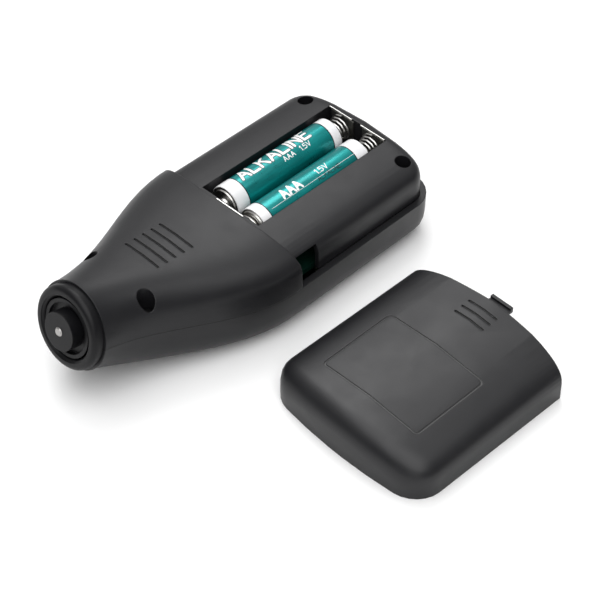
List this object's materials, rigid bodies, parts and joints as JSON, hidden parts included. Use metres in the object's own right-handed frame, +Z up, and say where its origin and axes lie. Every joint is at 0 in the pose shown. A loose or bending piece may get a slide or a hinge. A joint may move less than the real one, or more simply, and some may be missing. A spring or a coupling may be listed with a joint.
{
  "type": "coating thickness gauge",
  "caption": "Hand-held coating thickness gauge with a bottle-shaped housing, a sprung probe in its nose, two cells in an open compartment and its battery cover lying beside it.",
  "frame": {"origin": "on the flat front face that the gauge rests on, under its middle line", "axes": "+X towards the tail, -X towards the probe, +Z up out of the back"},
  "size_m": [0.1202, 0.1237, 0.0334],
  "materials": {
    "black_plastic": "satin",
    "probe_plastic": "satin",
    "bright_steel": "plated",
    "black_steel": "black oxide",
    "copper_wire": "enamelled",
    "board_green": "solder mask",
    "chip_black": "moulded",
    "display_grey": "glossy",
    "frame_white": "moulded",
    "clear_lens": "polished",
    "key_rubber": "matte",
    "cell_sleeve": "printed foil"
  },
  "bodies": {
    "gauge": {"front_shell": "black_plastic", "back_shell": "black_plastic", "battery_cover": "black_plastic", "nose_ring": "probe_plastic", "probe_guide": "probe_plastic", "probe_spring": "bright_steel", "main_board": "board_green", "processor_chip": "chip_black", "buzzer": "chip_black", "display_module": "display_grey", "display_frame": "frame_white", "display_lens": "clear_lens", "keypad_mat": "key_rubber", "battery_1": "cell_sleeve", "battery_2": "cell_sleeve", "joined_contact": "bright_steel", "contact_plate_1": "bright_steel", "contact_plate_2": "bright_steel", "battery_spring_1": "bright_steel", "battery_spring_2": "bright_steel", "battery_spring_3": "bright_steel", "housing_screws": "black_steel"},
    "probe": {"probe_sleeve": "probe_plastic", "probe_boss": "probe_plastic", "probe_tip": "bright_steel", "probe_coil": "copper_wire"},
    "key_left": {"key_left": "key_rubber"},
    "key_middle": {"key_middle": "key_rubber"},
    "key_right": {"key_right": "key_rubber"}
  },
  "joints": [
    {"name": "probe_slide", "type": "slide", "parent": "gauge", "child": "probe", "axis": [0.9703, 0, -0.2419], "range_m": [0, 0.0015], "stiffness_N_per_m": 400, "springref_m": -0.002, "deforming": ["probe_spring"]},
    {"name": "key_left_press", "type": "slide", "parent": "gauge", "child": "key_left", "axis": [0, 0, 1], "range_m": [0, 0.0008], "stiffness_N_per_m": 400, "springref_m": -0.001},
    {"name": "key_middle_press", "type": "slide", "parent": "gauge", "child": "key_middle", "axis": [0, 0, 1], "range_m": [0, 0.0008], "stiffness_N_per_m": 400, "springref_m": -0.001},
    {"name": "key_right_press", "type": "slide", "parent": "gauge", "child": "key_right", "axis": [0, 0, 1], "range_m": [0, 0.0008], "stiffness_N_per_m": 400, "springref_m": -0.001}
  ]
}
